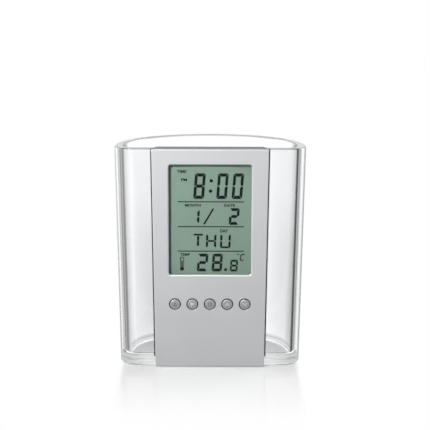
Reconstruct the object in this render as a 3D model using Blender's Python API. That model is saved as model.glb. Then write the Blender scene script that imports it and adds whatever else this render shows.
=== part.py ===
"""Desk clock with a calendar and a thermometer, carried in the front wall of a clear pen cup.

The cup is one clear moulding, D-shaped in plan, with a slot in its flat front wall. The clock is a
module that slides down into the slot: a silver front panel outside the wall and a rear case inside
it grip the slot's two edges between them. The frame is in metres with +Z up. The panel faces -Y, and
the origin lies under the middle of the object's box, on the surface that the cup stands on.
"""

import math

import bmesh
import bpy
from mathutils import Vector

# Cup
cup_height = 0.103
rim_width = 0.088
rim_depth = 0.0425
base_width = 0.0842
base_depth = 0.0411
cup_wall = 0.004
cup_floor = 0.0042
front_corner_radius = 0.009
rim_rounding = 0.0006
foot_rounding = 0.0011
floor_fillet = 0.0018

# Clearances that seated pieces keep, and the overrun of every cutter
clearance = 0.0003
screw_clearance = 0.00015
overrun = 0.001

# Front panel: a plate outside the cup's wall, with a skirt that passes through the slot
panel_top_width = 0.0532
panel_base_width = 0.0506
plate_thickness = 0.0017
plate_rounding = 0.0006
plate_corner = 0.0004
slot_overlap = 0.0007
skirt_wall = 0.0012
ground_gap = 0.0003

# Display window and its lens
window_top_margin = 0.00715
window_bevel = 0.0004
window_corner = 0.0011
lens_thickness = 0.0008
lens_margin = 0.001

# Liquid crystal cell, its reflector, its frame and the rubber strips that connect it
glass_margin = 0.002
glass_ledge = 0.0016
frame_side_gap = 0.00145
front_glass_thickness = 0.001
rear_glass_thickness = 0.0011
reflector_thickness = 0.0002
frame_wall = 0.001
strip_width = 0.0011
strip_end_gap = 0.001

# Buttons and the switches behind them
button_count = 5
button_pitch = 0.00805
button_to_window = 0.0139
button_hole_radius = 0.0027
button_gap = 0.00035
button_crown = 0.0005
button_edge_rounding = 0.0004
button_dome = 0.00012
button_flange_width = 0.0009
button_flange_thickness = 0.0006
button_travel = 0.0005
switch_side = 0.006
switch_height = 0.0032
switch_chamfer = 0.0004
plunger_radius = 0.0016
plunger_seat = 0.001

# Circuit board and what is soldered to it
board_standoff = 0.0053
board_lip = 0.00265
board_thickness = 0.001
chip_radius = 0.005
chip_height = 0.0013
chip_drop = 0.017
crystal_radius = 0.001
crystal_length = 0.006
crystal_x = -0.014
crystal_drop = 0.025
thermistor_radius = 0.0011
thermistor_height = 0.0022
thermistor_x = 0.0125
thermistor_drop = 0.049
buzzer_radius = 0.009
buzzer_ceramic_radius = 0.0065
buzzer_layer = 0.0002
buzzer_drop = 0.041

# Rear case, inside the cup
case_depth = 0.0075
case_overhang = 0.0006
case_wall = 0.0012
case_rounding = 0.0025
case_corner = 0.0028
case_top_land = 0.0015
case_top_fall = 0.0012
sound_hole_count = 6
sound_hole_radius = 0.0007
sound_hole_spread = 0.003
vent_count = 4
vent_width = 0.001
vent_height = 0.007
vent_pitch = 0.0025

# Button cell, its round cover with three bayonet lugs, and its contacts
cell_radius = 0.0058
cell_height = 0.0054
cell_cap_radius = 0.0048
cell_cap_height = 0.0004
pocket_floor = 0.0006
pocket_wall = 0.001
cover_radius = 0.008
cover_thickness = 0.0012
neck_radius = 0.0066
lug_reach = 0.001
lug_thickness = 0.0008
lug_width = 0.003
lug_count = 3
ledge_thickness = 0.001
ledge_gap = 0.0004
cover_turn = math.radians(45)
coin_slot_length = 0.0105
coin_slot_width = 0.0016
coin_slot_depth = 0.0006
contact_width = 0.0014
contact_thickness = 0.0003
contact_tab = 0.0014

# Screws and the bosses that take them
boss_radius = 0.0016
shank_radius = 0.0007
head_radius = 0.0015
head_height = 0.0011
case_screw_length = 0.008
board_screw_length = 0.005
counterbore_depth = 0.002
cross_arm = 0.001
cross_width = 0.0004
cross_depth = 0.0005
pilot_floor = 0.0005
bottom_screw_share = 0.7
board_screw_share = 0.82
corner_boss_share = 0.8

# Facets: how many straight pieces stand for a curve
cup_back_steps = 64
cup_corner_steps = 6
round_steps = 3
large_sides = 40
hole_sides = 28
small_sides = 14

# Depths, from the panel's face to the rear case's back, measured along +Y
wall_face = -(rim_depth - clearance - plate_thickness - button_crown) / 2
wall_inside = wall_face + cup_wall
plate_back = wall_face - clearance
plate_front = plate_back - plate_thickness
case_front = wall_inside + clearance
case_back = case_front + case_depth
case_inside = case_back - case_wall
glass_front = plate_back + clearance
glass_step = glass_front + front_glass_thickness
glass_back = glass_step + rear_glass_thickness
reflector_back = glass_back + clearance + reflector_thickness
board_front = plate_back + board_standoff
board_back = board_front + board_thickness
flange_back = plate_back + clearance + button_flange_thickness
switch_back = board_front - clearance
switch_front = switch_back - switch_height

# Radii and depths round the button cell
counterbore_radius = head_radius + clearance
recess_radius = cover_radius + clearance
lug_radius = neck_radius + lug_reach
groove_radius = lug_radius + clearance
ledge_radius = neck_radius + ledge_gap
pocket_radius = cell_radius + clearance
recess_floor = case_back - cover_thickness - clearance
ledge_front = recess_floor - ledge_thickness
lug_back = ledge_front - clearance
lug_front = lug_back - lug_thickness
cell_back = lug_front - clearance
cell_front = cell_back - cell_height
contact_front = cell_front - clearance - contact_thickness
pocket_inside = contact_front - clearance
pocket_front = pocket_inside - pocket_floor

# Heights, measured along +Z: the cell, the board, the buttons and the window, each above the last
module_low = cup_floor + clearance
cell_place = module_low + case_rounding + recess_radius + clearance
board_low = cell_place + groove_radius + pocket_wall + clearance
button_height = board_low + board_lip + switch_side / 2
window_low = button_height + button_to_window
window_top = cup_height - window_top_margin
glass_low = window_low - glass_ledge
glass_top = window_top + glass_ledge
frame_reach = clearance + frame_wall
frame_low = glass_low - frame_reach
frame_top = glass_top + frame_reach
skirt_top_inside = cup_height - skirt_wall
case_top_slope = case_top_fall / (case_depth - case_top_land)


def mix(low, high, share):
    return low + (high - low) * share


def panel_half(height):
    """Half the panel's width at a height: it narrows towards the ground, as the cup does."""
    return mix(panel_base_width, panel_top_width, height / cup_height) / 2


def slot_half(height):
    return panel_half(height) - slot_overlap


def skirt_half(height):
    return slot_half(height) - clearance


def skirt_inside_half(height):
    return skirt_half(height) - skirt_wall


def narrower_half(low, high):
    """Half the room inside the skirt for a square-cut piece: the narrower of its two ends sets it."""
    return min(skirt_inside_half(low), skirt_inside_half(high))


def case_half(height):
    return panel_half(height) + case_overhang


def case_top(depth):
    """The rear case's top edge: level over a narrow land, then falling towards the back."""
    return cup_height - case_top_slope * max(depth - case_front - case_top_land, 0)


def hollow_top(depth):
    """The top of the rear case's hollow, which falls from the skirt's inside towards the back."""
    share = (depth - case_front) / (case_inside - case_front)
    return mix(skirt_top_inside, case_top(case_back) - case_wall, max(share, 0))


# Half widths across the display
glass_half = narrower_half(frame_low, frame_top) - frame_side_gap - frame_reach
window_half = glass_half - glass_margin


def quarter_round(radius, steps=round_steps):
    """Pairs (inset, distance from the end) that take an edge from its side round to its end."""
    turns = [math.pi / 2 * i / steps for i in range(steps + 1)]
    return [(radius * (1 - math.cos(turn)), radius * (1 - math.sin(turn))) for turn in turns]


def arc(x, y, radius, start, steps):
    """The points of a quarter circle that starts at an angle in quarter turns."""
    turns = [math.pi / 2 * (start + i / steps) for i in range(steps + 1)]
    return [(x + radius * math.cos(turn), y + radius * math.sin(turn)) for turn in turns]


def tapered_outline(half_at, low, high, inset, corner):
    """A tall four-sided outline with rounded corners, as (x, z), drawn in by an inset."""
    radius = max(corner - inset, clearance)
    top = high - inset - radius
    bottom = low + inset + radius
    right_low = half_at(bottom) - inset - radius
    right_top = half_at(top) - inset - radius
    return (
        arc(right_low, bottom, radius, 3, round_steps)
        + arc(right_top, top, radius, 0, round_steps)
        + arc(-right_top, top, radius, 1, round_steps)
        + arc(-right_low, bottom, radius, 2, round_steps)
    )


def upright(outline, depth):
    """An (x, z) outline set upright at a depth."""
    return [Vector((x, depth, z)) for x, z in outline]


def prism(outline, front, back):
    return [upright(outline, front), upright(outline, back)]


def block(half, low, high, front, back, middle=0):
    """A square-edged block, half as wide to each side of its middle."""
    corners = [
        (middle - half, low),
        (middle + half, low),
        (middle + half, high),
        (middle - half, high),
    ]
    return prism(corners, front, back)


def turned(profile, x, z, sides=small_sides):
    """A round form about a line along Y: its profile is pairs (radius, depth)."""
    turns = [2 * math.pi * i / sides for i in range(sides)]
    return [
        [Vector((x + radius * math.cos(t), depth, z + radius * math.sin(t))) for t in turns]
        for radius, depth in profile
    ]


def cylinder(radius, front, back, x, z, sides=small_sides):
    return turned([(radius, front), (radius, back)], x, z, sides)


def clear_scene():
    for item in list(bpy.data.objects):
        bpy.data.objects.remove(item)


def finish(name, colour, roughness, metallic=0.0, transmission=0.0):
    """A Principled material: colour, roughness, and whether it is metal or clear."""
    material = bpy.data.materials.new(name)
    material.use_nodes = True
    shader = material.node_tree.nodes["Principled BSDF"]
    shader.inputs["Base Color"].default_value = (*colour, 1.0)
    shader.inputs["Roughness"].default_value = roughness
    shader.inputs["Metallic"].default_value = metallic
    shader.inputs["Transmission Weight"].default_value = transmission
    return material


def solid(name, forms, material):
    """One object from forms, each a list of rings that are joined in order and closed at both ends."""
    shape = bmesh.new()
    for rings in forms:
        loops = [[shape.verts.new(point) for point in ring] for ring in rings]
        for first, second in zip(loops, loops[1:]):
            for i in range(len(first)):
                j = (i + 1) % len(first)
                shape.faces.new((first[i], first[j], second[j], second[i]))
        shape.faces.new(loops[0])
        shape.faces.new(loops[-1])
    bmesh.ops.recalc_face_normals(shape, faces=shape.faces)
    mesh = bpy.data.meshes.new(name)
    shape.to_mesh(mesh)
    shape.free()
    mesh.shade_smooth()
    mesh.set_sharp_from_angle(angle=math.radians(30))
    mesh.materials.append(material)
    item = bpy.data.objects.new(name, mesh)
    bpy.context.collection.objects.link(item)
    return item


def helper(name, forms):
    """A hidden tool that a Boolean uses."""
    item = solid(name, forms, tool_finish)
    item.hide_render = True
    item.display_type = "WIRE"
    return item


def change(item, tool, operation):
    modifier = item.modifiers.new(tool.name, "BOOLEAN")
    modifier.operation = operation
    modifier.solver = "EXACT"
    modifier.object = tool


def cut(item, tool):
    change(item, tool, "DIFFERENCE")


def fuse(item, tool):
    change(item, tool, "UNION")


def cup_ring(height, inset):
    """The cup's D-shaped outline at a height: a flat front, two round corners, a half-ellipse back."""
    half = mix(base_width, rim_width, height / cup_height) / 2
    depth = mix(base_depth, rim_depth, height / cup_height)
    radius = front_corner_radius
    points = arc(half - radius, radius, radius - inset, 3, cup_corner_steps)
    for i in range(1, cup_back_steps):
        turn = math.pi * i / cup_back_steps
        points.append(
            ((half - inset) * math.cos(turn), radius + (depth - radius - inset) * math.sin(turn))
        )
    points += arc(radius - half, radius, radius - inset, 2, cup_corner_steps)
    return [Vector((x, wall_face + y, height)) for x, y in points]


def make_cup():
    """The clear cup, moulded in one piece with a thick floor and a slot in its front wall."""
    rim = quarter_round(rim_rounding)
    rings = [cup_ring(rise, inset) for inset, rise in reversed(quarter_round(foot_rounding))]
    rings += [cup_ring(cup_height - drop, inset) for inset, drop in rim]
    rings += [cup_ring(cup_height - drop, cup_wall - inset) for inset, drop in reversed(rim)]
    rings += [
        cup_ring(cup_floor + rise, cup_wall + inset) for inset, rise in quarter_round(floor_fillet)
    ]
    cup = solid("cup", [rings], clear_plastic)
    slot_top = cup_height + overrun
    slot = [
        (-slot_half(cup_floor), cup_floor),
        (slot_half(cup_floor), cup_floor),
        (slot_half(slot_top), slot_top),
        (-slot_half(slot_top), slot_top),
    ]
    cut(cup, helper("slot_tool", [prism(slot, wall_face - overrun, wall_inside + overrun)]))
    seat = block(
        case_half(cup_floor + floor_fillet) + clearance,
        cup_floor,
        cup_floor + floor_fillet + overrun,
        wall_inside,
        wall_inside + floor_fillet + overrun,
    )
    cut(cup, helper("seat_tool", [seat]))


def corner_bosses():
    """Where the two upper case screws stand, diagonally outside the glass's top corners."""
    reach = (boss_radius + clearance) * corner_boss_share
    return [(side * (glass_half + reach), glass_top + reach) for side in (-1, 1)]


def bottom_bosses():
    height = module_low + case_rounding + counterbore_radius + clearance
    return [(side * case_half(height) * bottom_screw_share, height) for side in (-1, 1)]


def board_half():
    return narrower_half(board_low, skirt_top_inside) - clearance


def board_bosses():
    """Where the two board screws stand, between the display's frame and the switches."""
    height = (frame_low + button_height + switch_side / 2) / 2
    return [(side * board_half() * board_screw_share, height) for side in (-1, 1)]


def button_places():
    middle = (button_count - 1) / 2
    return [(i - middle) * button_pitch for i in range(button_count)]


def rounded_window(grow, front, back, corner):
    """A rectangle round the display window, grown by a margin on every side."""
    outline = tapered_outline(
        lambda height: window_half + grow, window_low - grow, window_top + grow, 0, corner
    )
    return prism(outline, front, back)


def make_front_panel():
    """The silver panel: a plate to the ground with rounded edges, a skirt, and screw bosses."""
    edge = quarter_round(plate_rounding)
    depths = [(0, plate_back)] + [(inset, plate_front + rise) for inset, rise in edge]
    rings = [
        upright(tapered_outline(panel_half, ground_gap, cup_height, inset, plate_corner), depth)
        for inset, depth in depths
    ]
    panel = solid("front_panel", [rings], silver_plastic)

    lip = plate_back - plate_thickness / 2
    skirt = tapered_outline(skirt_half, module_low, cup_height, 0, plate_corner)
    fuse(panel, helper("skirt_tool", [prism(skirt, lip, wall_inside)]))
    hollow = tapered_outline(
        skirt_inside_half, module_low + skirt_wall, skirt_top_inside, 0, plate_corner
    )
    cut(panel, helper("skirt_hollow_tool", [prism(hollow, plate_back, wall_inside + overrun)]))

    places = corner_bosses() + bottom_bosses() + board_bosses()
    boss_end = board_front - clearance
    fuse(panel, helper("boss_tool", [cylinder(boss_radius, lip, boss_end, x, z) for x, z in places]))
    pilot_radius = shank_radius + screw_clearance
    pilot_start = plate_back + pilot_floor
    pilots = [cylinder(pilot_radius, pilot_start, boss_end + overrun, x, z) for x, z in places]
    cut(panel, helper("pilot_tool", pilots))

    holes = [
        cylinder(
            button_hole_radius, plate_front - overrun, plate_back + overrun, x, button_height, hole_sides
        )
        for x in button_places()
    ]
    cut(panel, helper("button_hole_tool", holes))

    bevel_front = window_bevel + overrun
    window = [
        rounded_window(bevel_front, plate_front - overrun, plate_front, window_corner)[0],
        rounded_window(0, plate_front, plate_front + window_bevel, window_corner)[1],
        rounded_window(0, plate_front, plate_back + overrun, window_corner)[1],
    ]
    cut(panel, helper("window_tool", [window]))
    recess_front = plate_back - lens_thickness - clearance
    recess = rounded_window(
        lens_margin + clearance, recess_front, plate_back + overrun, window_corner
    )
    cut(panel, helper("lens_recess_tool", [recess]))


def make_display():
    """The lens, the stepped glass cell, its reflector, its frame and the two connecting strips."""
    lens_front = plate_back - lens_thickness
    solid(
        "display_window",
        [rounded_window(lens_margin, lens_front, plate_back, window_corner)],
        clear_lens,
    )
    front_glass = block(glass_half, glass_low, glass_top, glass_front, glass_step)
    cell = solid("lcd_cell", [front_glass], lcd_glass)
    seam = front_glass_thickness / 2
    rear_glass = block(
        glass_half, glass_low + glass_ledge, glass_top - glass_ledge, glass_step - seam, glass_back
    )
    fuse(cell, helper("rear_glass_tool", [rear_glass]))
    reflector = block(
        glass_half,
        glass_low + glass_ledge,
        glass_top - glass_ledge,
        glass_back + clearance,
        reflector_back,
    )
    solid("lcd_reflector", [reflector], foil)

    outer = block(
        glass_half + frame_reach,
        frame_low,
        frame_top,
        glass_front,
        board_front - clearance,
    )
    frame = solid("lcd_frame", [outer], black_plastic)
    shelf_front = reflector_back + clearance
    shelf_back = shelf_front + frame_wall
    inner_half = glass_half + clearance
    inner_low = glass_low - clearance
    inner_top = glass_top + clearance
    pockets = [
        block(inner_half, inner_low, inner_top, glass_front - overrun, shelf_front),
        block(inner_half, inner_low, inner_top, shelf_back, board_front + overrun),
    ]
    cut(frame, helper("frame_pocket_tool", pockets))
    strip_half = glass_half - strip_end_gap
    strips = {
        "zebra_strip_upper": glass_top - glass_ledge / 2,
        "zebra_strip_lower": glass_low + glass_ledge / 2,
    }
    slots = []
    for name, middle in strips.items():
        low, high = middle - strip_width / 2, middle + strip_width / 2
        strip = block(strip_half, low, high, glass_step + clearance, board_front - clearance)
        solid(name, [strip], strip_rubber)
        slots.append(
            block(
                strip_half + clearance, low - clearance, high + clearance, glass_back, board_front
            )
        )
    cut(frame, helper("strip_slot_tool", slots))
    room = boss_radius + clearance
    notches = [
        cylinder(room, glass_front - overrun, board_front + overrun, x, z)
        for x, z in corner_bosses()
    ]
    cut(frame, helper("frame_notch_tool", notches))


def make_buttons():
    """Each round cap presses the plunger of its own square switch, which stands on the board."""
    cap_radius = button_hole_radius - button_gap
    flange_front = plate_back + clearance
    crown = plate_front - button_crown
    shoulder = crown + button_dome
    flange_radius = cap_radius + button_flange_width
    profile = [(flange_radius, flange_back), (flange_radius, flange_front), (cap_radius, flange_front)]
    profile += [
        (cap_radius - inset, shoulder + rise) for inset, rise in quarter_round(button_edge_rounding)
    ]
    profile.append(((cap_radius - button_edge_rounding) / 2, crown))
    plunger_front = flange_back + clearance
    plunger_back = switch_front + plunger_seat
    bore_back = plunger_back + button_travel + clearance
    for i, x in enumerate(button_places(), 1):
        solid(f"button_{i}", [turned(profile, x, button_height, hole_sides)], silver_cap)
        solid(
            f"switch_plunger_{i}",
            [cylinder(plunger_radius, plunger_front, plunger_back, x, button_height)],
            plunger_plastic,
        )
        low = button_height - switch_side / 2
        high = button_height + switch_side / 2
        sides = (switch_side / 2 - switch_chamfer, switch_side / 2, switch_side / 2)
        depths = (switch_front, switch_front + switch_chamfer, switch_back)
        body_rings = [
            block(half, low + switch_side / 2 - half, high - switch_side / 2 + half, depth, depth, x)[0]
            for half, depth in zip(sides, depths)
        ]
        body = solid(f"switch_body_{i}", [body_rings], black_plastic)
        bore_radius = plunger_radius + clearance
        bore = cylinder(bore_radius, switch_front - overrun, bore_back, x, button_height)
        cut(body, helper(f"plunger_bore_tool_{i}", [bore]))


def make_board():
    """The board and its parts: a resin-covered chip, a crystal can, a thermistor and a buzzer."""
    board_top = hollow_top(board_back) - clearance
    board = solid(
        "circuit_board",
        [block(board_half(), board_low, board_top, board_front, board_back)],
        board_laminate,
    )
    holes = [
        cylinder(shank_radius + clearance, board_front - overrun, board_back + overrun, x, z)
        for x, z in corner_bosses() + board_bosses()
    ]
    cut(board, helper("board_hole_tool", holes))

    seat = board_back + clearance
    chip_edge = quarter_round(chip_height)
    chip = [(chip_radius, seat)]
    chip += [(chip_radius - inset, seat + chip_height - rise) for inset, rise in chip_edge]
    solid("chip_cover", [turned(chip, 0, window_top - chip_drop, hole_sides)], black_resin)

    crystal_height = window_top - crystal_drop
    crystal_axis = seat + crystal_radius
    ends = (crystal_x - crystal_length / 2, crystal_x + crystal_length / 2)
    turns = [2 * math.pi * i / small_sides for i in range(small_sides)]
    can = [
        [
            Vector(
                (
                    x,
                    crystal_axis + crystal_radius * math.cos(t),
                    crystal_height + crystal_radius * math.sin(t),
                )
            )
            for t in turns
        ]
        for x in ends
    ]
    solid("crystal_can", [can], steel)

    bead_edge = quarter_round(thermistor_radius)
    bead = [(thermistor_radius / 2, seat), (thermistor_radius, seat + thermistor_radius)]
    bead += [
        (thermistor_radius - inset, seat + thermistor_height - rise)
        for inset, rise in bead_edge[:-1]
    ]
    bead_place = window_top - thermistor_drop
    solid("thermistor", [turned(bead, thermistor_x, bead_place)], black_resin)

    brass_back = case_inside - clearance
    brass_front = brass_back - buzzer_layer
    disc = [
        (buzzer_ceramic_radius, brass_front - buzzer_layer),
        (buzzer_ceramic_radius, brass_front),
        (buzzer_radius, brass_front),
        (buzzer_radius, brass_back),
    ]
    solid("buzzer_disc", [turned(disc, 0, window_top - buzzer_drop, hole_sides)], brass)


def turned_box(half_length, half_width, reach, front, back, turn):
    """A block that points outwards from the cell's axis at an angle, from one reach to another."""
    along = Vector((math.cos(turn), 0, math.sin(turn)))
    across = Vector((-math.sin(turn), 0, math.cos(turn)))
    centre = Vector((0, 0, cell_place)) + along * reach
    corners = [
        centre + along * a * half_length + across * b * half_width
        for a, b in ((-1, -1), (1, -1), (1, 1), (-1, 1))
    ]
    return [[Vector((p.x, depth, p.z)) for p in corners] for depth in (front, back)]


def lug_turns(start):
    return [start + 2 * math.pi * i / lug_count for i in range(lug_count)]


def make_rear_case():
    """The rear case: a shell with rounded back edges, a battery pocket, bosses and vents."""
    depths = [(0, case_front), (0, case_front + case_top_land)]
    depths += [(inset, case_back - rise) for inset, rise in quarter_round(case_rounding)]
    rings = [
        upright(
            tapered_outline(case_half, module_low, case_top(depth), inset, case_corner), depth
        )
        for inset, depth in depths
    ]
    case = solid("rear_case", [rings], grey_plastic)

    hollow_low = module_low + case_wall
    hollow = [
        upright(
            tapered_outline(skirt_inside_half, hollow_low, hollow_top(depth), 0, plate_corner), depth
        )
        for depth in (case_front - overrun, case_front, case_inside)
    ]
    cut(case, helper("case_hollow_tool", [hollow]))

    seam = case_wall / 2
    groove_outer = groove_radius + pocket_wall
    pocket_outer = pocket_radius + pocket_wall
    collar_front = cell_back - pocket_wall
    pocket = [
        (pocket_outer, pocket_front),
        (pocket_outer, collar_front),
        (groove_outer, collar_front),
        (groove_outer, case_inside + seam),
    ]
    tube_radius = counterbore_radius + pocket_wall / 2
    counterbore_floor = case_back - counterbore_depth
    tube_neck = counterbore_floor - pocket_wall
    additions = [turned(pocket, 0, cell_place, large_sides)]
    for places, front in (
        (corner_bosses(), board_back + clearance),
        (bottom_bosses(), board_front),
    ):
        for x, z in places:
            tube = [
                (boss_radius, front),
                (boss_radius, tube_neck),
                (tube_radius, tube_neck),
                (tube_radius, case_inside + seam),
            ]
            additions.append(turned(tube, x, z))
    fuse(case, helper("case_pocket_tool", additions))

    void = [
        (pocket_radius, pocket_inside),
        (pocket_radius, cell_back),
        (groove_radius, cell_back),
        (groove_radius, ledge_front),
        (ledge_radius, ledge_front),
        (ledge_radius, recess_floor),
        (recess_radius, recess_floor),
        (recess_radius, case_back + overrun),
    ]
    voids = [turned(void, 0, cell_place, large_sides)]
    for x, z in corner_bosses() + bottom_bosses():
        bore = [
            (shank_radius + clearance, board_front - overrun),
            (shank_radius + clearance, counterbore_floor),
            (counterbore_radius, counterbore_floor),
            (counterbore_radius, case_back + overrun),
        ]
        voids.append(turned(bore, x, z))
    buzzer_place = window_top - buzzer_drop
    spots = [(0, buzzer_place)]
    for i in range(sound_hole_count):
        turn = 2 * math.pi * i / sound_hole_count
        spots.append(
            (sound_hole_spread * math.cos(turn), buzzer_place + sound_hole_spread * math.sin(turn))
        )
    for x, z in spots:
        voids.append(cylinder(sound_hole_radius, case_inside - overrun, case_back + overrun, x, z))
    vent_place = window_top - thermistor_drop
    for i in range(vent_count):
        x = thermistor_x + (i - (vent_count - 1) / 2) * vent_pitch
        voids.append(
            block(
                vent_width / 2,
                vent_place - vent_height / 2,
                vent_place + vent_height / 2,
                case_inside - overrun,
                case_back + overrun,
                x,
            )
        )
    cut(case, helper("case_void_tool", voids))

    notch_half_width = lug_width / 2 + clearance
    notches = [
        turned_box(
            lug_reach,
            notch_half_width,
            groove_radius - lug_reach,
            ledge_front - overrun / 2,
            recess_floor + overrun / 2,
            turn,
        )
        for turn in lug_turns(math.pi / 2 - cover_turn)
    ]
    cut(case, helper("lug_notch_tool", notches))
    room = contact_width / 2 + clearance
    slots = [
        block(
            room,
            cell_place,
            cell_place + pocket_outer + overrun,
            pocket_inside,
            collar_front - pocket_wall,
            side * button_pitch / 2,
        )
        for side in (-1, 1)
    ]
    cut(case, helper("contact_slot_tool", slots))


def make_battery():
    """The button cell, its cover, which a coin turns to release three lugs, and its contacts."""
    can = [
        (cell_cap_radius, cell_front),
        (cell_cap_radius, cell_front + cell_cap_height),
        (cell_radius, cell_front + cell_cap_height),
        (cell_radius, cell_back),
    ]
    solid("button_cell", [turned(can, 0, cell_place, large_sides)], steel)

    cover = [
        (neck_radius, lug_front),
        (neck_radius, case_back - cover_thickness),
        (cover_radius, case_back - cover_thickness),
        (cover_radius, case_back),
    ]
    lid = solid("battery_cover", [turned(cover, 0, cell_place, large_sides)], grey_plastic)
    lugs = [
        turned_box(lug_reach, lug_width / 2, lug_radius - lug_reach, lug_front, lug_back, turn)
        for turn in lug_turns(math.pi / 2)
    ]
    fuse(lid, helper("lug_tool", lugs))
    slot = block(
        coin_slot_length / 2,
        cell_place - coin_slot_width / 2,
        cell_place + coin_slot_width / 2,
        case_back - coin_slot_depth,
        case_back + overrun,
    )
    cut(lid, helper("coin_slot_tool", [slot]))

    half = contact_width / 2
    tab_back = board_front - clearance
    tab_low = board_low + clearance
    tab_high = tab_low + contact_tab
    minus_x, plus_x = -button_pitch / 2, button_pitch / 2
    reach = cell_place + cell_cap_radius / 2
    arm_back = contact_front + contact_thickness
    minus_arm = block(half, reach, tab_high, contact_front, arm_back, minus_x)
    minus = solid("contact_minus", [minus_arm], steel)
    riser_low = tab_high - contact_thickness
    riser = block(half, riser_low, tab_high, contact_front, tab_back, minus_x)
    fuse(minus, helper("minus_riser_tool", [riser]))

    plus_low = cell_place + cell_radius + clearance
    leaf_high = plus_low + contact_thickness
    plus_leaf = block(half, plus_low, leaf_high, cell_front + contact_tab, tab_back, plus_x)
    plus = solid("contact_plus", [plus_leaf], steel)
    plus_tab = block(half, plus_low, tab_high, tab_back - contact_thickness, tab_back, plus_x)
    fuse(plus, helper("plus_tab_tool", [plus_tab]))


def screw(name, x, z, seat, length):
    """A pan-head screw driven towards -Y, its head resting at a depth."""
    top = seat + head_height
    profile = [
        (shank_radius / 2, seat - length),
        (shank_radius, seat - length + shank_radius),
        (shank_radius, seat),
        (head_radius, seat),
        (head_radius, top - head_height / 2),
        (head_radius - head_height / 2, top),
    ]
    item = solid(name, [turned(profile, x, z)], steel)
    arm, side = cross_arm, cross_width / 2
    cross = [
        (x + a, z + b)
        for a, b in (
            (arm, -side), (arm, side), (side, side), (side, arm), (-side, arm), (-side, side),
            (-arm, side), (-arm, -side), (-side, -side), (-side, -arm), (side, -arm), (side, -side),
        )
    ]
    cut(item, helper(f"{name}_cross_tool", [prism(cross, top - cross_depth, top + overrun)]))


def make_screws():
    case_seat = case_back - counterbore_depth + clearance
    for i, (x, z) in enumerate(corner_bosses() + bottom_bosses(), 1):
        screw(f"case_screw_{i}", x, z, case_seat, case_screw_length)
    for i, (x, z) in enumerate(board_bosses(), 1):
        screw(f"board_screw_{i}", x, z, board_back + clearance, board_screw_length)


clear_scene()
tool_finish = finish("tool", (0.5, 0.5, 0.5), 0.5)
clear_plastic = finish("clear_plastic", (0.96, 0.97, 0.97), 0.04, transmission=1.0)
clear_lens = finish("clear_lens", (0.95, 0.97, 0.96), 0.05, transmission=1.0)
silver_plastic = finish("silver_plastic", (0.62, 0.63, 0.64), 0.38, metallic=0.6)
silver_cap = finish("silver_cap", (0.55, 0.56, 0.57), 0.3, metallic=0.6)
grey_plastic = finish("grey_plastic", (0.06, 0.062, 0.065), 0.45)
black_plastic = finish("black_plastic", (0.03, 0.03, 0.03), 0.5)
plunger_plastic = finish("plunger_plastic", (0.05, 0.05, 0.05), 0.4)
lcd_glass = finish("lcd_glass", (0.27, 0.36, 0.29), 0.25)
foil = finish("foil", (0.6, 0.62, 0.6), 0.35, metallic=0.8)
strip_rubber = finish("strip_rubber", (0.25, 0.1, 0.1), 0.7)
board_laminate = finish("board_laminate", (0.05, 0.2, 0.08), 0.45)
black_resin = finish("black_resin", (0.02, 0.02, 0.02), 0.3)
steel = finish("steel", (0.6, 0.6, 0.6), 0.3, metallic=1.0)
brass = finish("brass", (0.7, 0.52, 0.25), 0.3, metallic=1.0)
make_cup()
make_front_panel()
make_display()
make_buttons()
make_board()
make_rear_case()
make_battery()
make_screws()
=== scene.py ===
"""Desk clock with a calendar and a thermometer, in the front wall of a clear D-shaped cup.

The sections follow the object as it is put together: the cup, then the clock module from its silver
panel back to its rear case. Lengths are in metres, apart from the flat signs and words, which are
drawn in millimetres. The panel faces -Y, and the object stands on the floor at z = 0.
"""

import math

import bmesh
import bpy
from mathutils import Matrix, Vector


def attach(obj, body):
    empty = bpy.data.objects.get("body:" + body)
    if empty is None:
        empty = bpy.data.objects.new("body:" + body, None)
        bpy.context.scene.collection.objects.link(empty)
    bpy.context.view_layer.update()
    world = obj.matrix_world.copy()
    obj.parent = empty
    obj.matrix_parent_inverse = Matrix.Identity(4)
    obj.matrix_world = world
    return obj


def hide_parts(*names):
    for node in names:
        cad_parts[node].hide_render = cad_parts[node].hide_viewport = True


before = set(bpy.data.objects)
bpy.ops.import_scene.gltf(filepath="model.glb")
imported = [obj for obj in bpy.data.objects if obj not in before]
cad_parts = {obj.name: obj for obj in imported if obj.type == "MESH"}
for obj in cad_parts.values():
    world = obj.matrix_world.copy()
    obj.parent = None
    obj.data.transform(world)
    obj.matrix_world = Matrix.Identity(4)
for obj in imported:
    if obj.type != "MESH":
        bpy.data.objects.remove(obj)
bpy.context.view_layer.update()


# Studio: a plain white floor that turns into the white background a little way off, a soft white
# surround with a greyer ceiling, one small key light from the upper left, and large soft fills.
def node(tree, kind, inputs=None, **settings):
    """Adds a shader node. Inputs, by name or place, are plain values or the sockets that feed them."""
    made = tree.nodes.new(kind)
    for name, value in settings.items():
        setattr(made, name, value)
    for name, value in (inputs or {}).items():
        if isinstance(value, bpy.types.NodeSocket):
            tree.links.new(value, made.inputs[name])
        else:
            made.inputs[name].default_value = value
    return made


def finish(name, colour, roughness, metallic=0.0, **others):
    """A material on one Principled shader. Returns the material, its tree and the shader."""
    made = bpy.data.materials.new(name)
    made.use_nodes = True
    shader = made.node_tree.nodes["Principled BSDF"]
    inputs = {"Base Color": (*colour, 1), "Roughness": roughness, "Metallic": metallic, **others}
    for title, value in inputs.items():
        shader.inputs[title].default_value = value
    return made, made.node_tree, shader


def added(name, data):
    """A new object in the scene."""
    item = bpy.data.objects.new(name, data)
    bpy.context.collection.objects.link(item)
    return item


def calculate(tree, operation, *values):
    return node(tree, "ShaderNodeMath", dict(enumerate(values)), operation=operation).outputs[0]


def times(tree, share, *others):
    """The product of several shares."""
    for other in others:
        share = calculate(tree, "MULTIPLY", share, other)
    return share


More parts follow.
